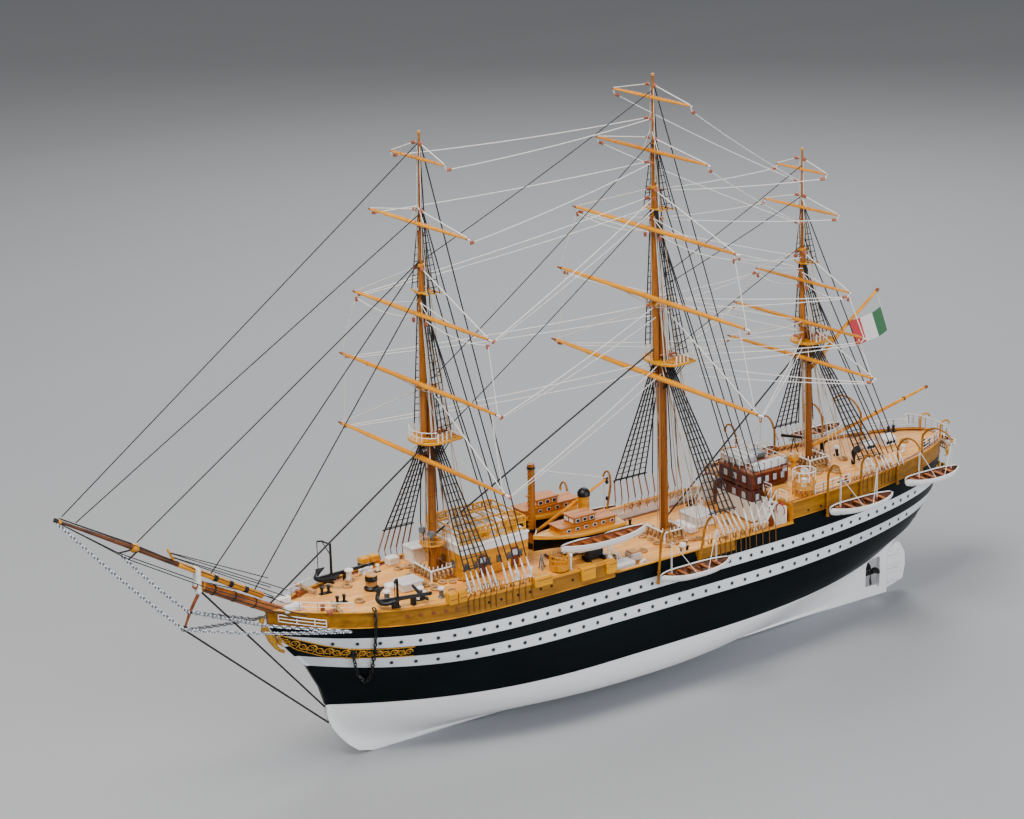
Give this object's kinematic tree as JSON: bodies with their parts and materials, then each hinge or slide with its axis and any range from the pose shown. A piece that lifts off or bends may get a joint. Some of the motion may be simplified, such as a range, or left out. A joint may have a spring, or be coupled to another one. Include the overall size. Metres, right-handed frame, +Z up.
{
  "type": "static scale model of a three-masted full-rigged training ship",
  "caption": "Wooden display model of a full-rigged training ship: clipper bow, decked hull, masts with crossed yards, deckhouses, launches and boats in davits.",
  "frame": {"origin": "on the flat underside of the keel, amidships", "axes": "+X towards the bow, +Y to port, +Z up"},
  "size_m": [1.1939, 0.3928, 0.7069],
  "materials": {
    "black_cord": "tarred cord",
    "black_metal": "satin black",
    "brown_spar": "satin varnish",
    "deck_plank": "matt planking",
    "flag_cloth": "printed cloth",
    "gilding": "gilt",
    "house_paint": "satin paint",
    "hull_paint": "satin paint, white below the waterline, two white bands",
    "launch_wood": "varnish over a black hull",
    "mahogany": "varnish",
    "white_boat": "satin paint",
    "white_wood": "satin paint",
    "yellow_spar": "satin paint",
    "yellow_wood": "satin paint"
  },
  "bodies": {
    "ship": {"anchor_port": "black_metal", "anchor_starboard": "black_metal", "boat_aft_port": "white_boat", "boat_aft_starboard": "white_boat", "boat_fore_port": "white_boat", "boat_fore_starboard": "white_boat", "boat_mid_port": "white_boat", "boat_mid_starboard": "white_boat", "bowsprit": "brown_spar", "bridge_deck": "house_paint", "capstan": "black_metal", "deck_forecastle": "deck_plank", "deck_main": "deck_plank", "deck_poop": "deck_plank", "deckhouse": "house_paint", "derrick_post": "brown_spar", "dolphin_striker": "brown_spar", "figurehead": "gilding", "fore_course_yard": "yellow_spar", "fore_lower_mast": "brown_spar", "fore_lower_topsail_yard": "yellow_spar", "fore_royal_yard": "yellow_spar", "fore_top": "yellow_wood", "fore_topgallant_yard": "yellow_spar", "fore_upper_mast": "brown_spar", "fore_upper_topsail_yard": "yellow_spar", "forestay": "black_cord", "funnel": "yellow_wood", "hull": "hull_paint", "jib_boom": "brown_spar", "launch_port": "launch_wood", "launch_starboard": "launch_wood", "main_course_yard": "yellow_spar", "main_lower_mast": "brown_spar", "main_lower_topsail_yard": "yellow_spar", "main_royal_yard": "yellow_spar", "main_stay": "black_cord", "main_top": "yellow_wood", "main_topgallant_yard": "yellow_spar", "main_upper_mast": "brown_spar", "main_upper_topsail_yard": "yellow_spar", "mizzen_course_yard": "yellow_spar", "mizzen_lower_mast": "brown_spar", "mizzen_lower_topsail_yard": "yellow_spar", "mizzen_royal_yard": "yellow_spar", "mizzen_stay": "black_cord", "mizzen_top": "yellow_wood", "mizzen_topgallant_yard": "yellow_spar", "mizzen_upper_mast": "brown_spar", "mizzen_upper_topsail_yard": "yellow_spar", "whaler": "white_boat", "wheelhouse": "mahogany"},
    "rudder": {"rudder": "white_wood"},
    "propeller": {"propeller": "black_metal"},
    "spanker_boom": {"spanker_boom": "yellow_spar"},
    "spanker_gaff": {"spanker_gaff": "yellow_spar", "flag": "flag_cloth"},
    "derrick_boom": {"derrick_boom": "yellow_spar"}
  },
  "joints": [
    {"name": "rudder_hinge", "type": "hinge", "parent": "ship", "child": "rudder", "pos_m": [-0.41214, 0, 0.03095], "axis": [0, 0, 1], "range_deg": [-35, 35]},
    {"name": "propeller_spin", "type": "hinge", "parent": "ship", "child": "propeller", "pos_m": [-0.38333, 0, 0.03155], "axis": [1, 0, 0], "continuous": true},
    {"name": "spanker_boom_swing", "type": "hinge", "parent": "ship", "child": "spanker_boom", "pos_m": [-0.27747, 0, 0.22143], "axis": [0, 0, 1], "range_deg": [-22, 22]},
    {"name": "spanker_gaff_swing", "type": "hinge", "parent": "ship", "child": "spanker_gaff", "pos_m": [-0.27527, 0, 0.32143], "axis": [0, 0, 1], "range_deg": [-15, 15]},
    {"name": "derrick_boom_swing", "type": "hinge", "parent": "ship", "child": "derrick_boom", "pos_m": [0.13214, 0, 0.20476], "axis": [0, 0, 1], "range_deg": [0, 12]}
  ]
}
